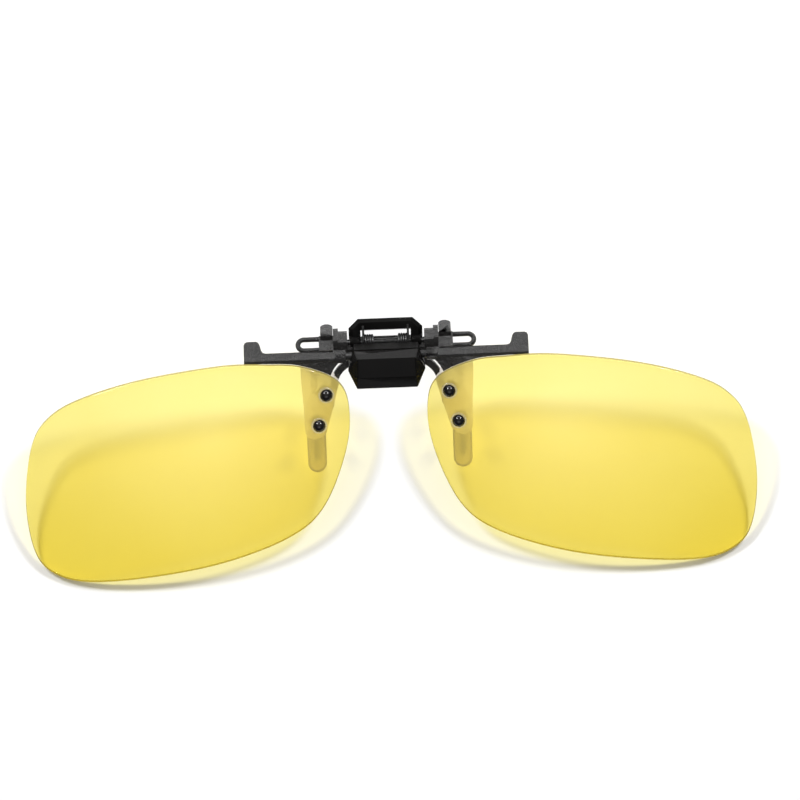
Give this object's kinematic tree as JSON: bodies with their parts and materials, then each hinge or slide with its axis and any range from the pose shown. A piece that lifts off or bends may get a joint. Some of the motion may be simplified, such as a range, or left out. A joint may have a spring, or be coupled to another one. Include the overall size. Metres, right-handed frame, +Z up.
{
  "type": "clip-on flip-up lens pair",
  "caption": "Rimless yellow clip-on lenses riveted to bars that flip up on a hinge, with a sprung pinch clip whose padded jaws grip the bridge of a pair of spectacles.",
  "frame": {"origin": "middle of the footprint, on the table, with the clip lying on its back on its lens corners and rest hooks", "axes": "+X along the pair from the left lens to the right as seen from the front, +Y along the table from the lenses' lower edges towards the clip, +Z up"},
  "size_m": [0.1312, 0.0458, 0.0141],
  "materials": {
    "frame_black": "moulded black plastic, fine grain",
    "cover_black": "polished black plastic",
    "black_steel": "blackened steel",
    "spring_steel": "spring steel",
    "rivet_black": "glossy black domed heads",
    "lens_yellow": "clear yellow-tinted lens",
    "clear_washer": "clear plastic",
    "milky_plastic": "milky translucent plastic",
    "milky_silicone": "milky silicone"
  },
  "bodies": {
    "clip": {"jaw_frame": "frame_black", "hinge_block": "frame_black", "hinge_cover": "cover_black", "detent_spring": "spring_steel", "pinch_pin": "black_steel", "front_jaw": "frame_black", "left_front_sleeve": "milky_silicone", "right_front_sleeve": "milky_silicone", "left_spring": "black_steel", "right_spring": "black_steel"},
    "flip_lenses": {"flip_axle": "black_steel", "left_wing": "frame_black", "right_wing": "frame_black", "left_tongue": "milky_plastic", "right_tongue": "milky_plastic", "left_lens": "lens_yellow", "right_lens": "lens_yellow", "lens_rivets": "rivet_black", "front_washers": "clear_washer", "back_washers": "spring_steel"},
    "pinch_lever": {"ring_lever": "cover_black", "rear_jaw": "frame_black", "left_rear_sleeve": "milky_silicone", "right_rear_sleeve": "milky_silicone"}
  },
  "joints": [
    {"name": "lens_flip", "type": "hinge", "parent": "clip", "child": "flip_lenses", "pos_m": [0, 0.01663, 0.00878], "axis": [-1, 0, 0], "range_deg": [0, 90], "deforming": ["detent_spring"]},
    {"name": "jaw_pinch", "type": "hinge", "parent": "clip", "child": "pinch_lever", "pos_m": [0, 0.01871, 0.00393], "axis": [1, 0, 0], "range_deg": [0, 20], "stiffness_Nm_per_rad": 0.02, "springref_deg": -28.65, "deforming": ["left_spring", "right_spring"]}
  ]
}
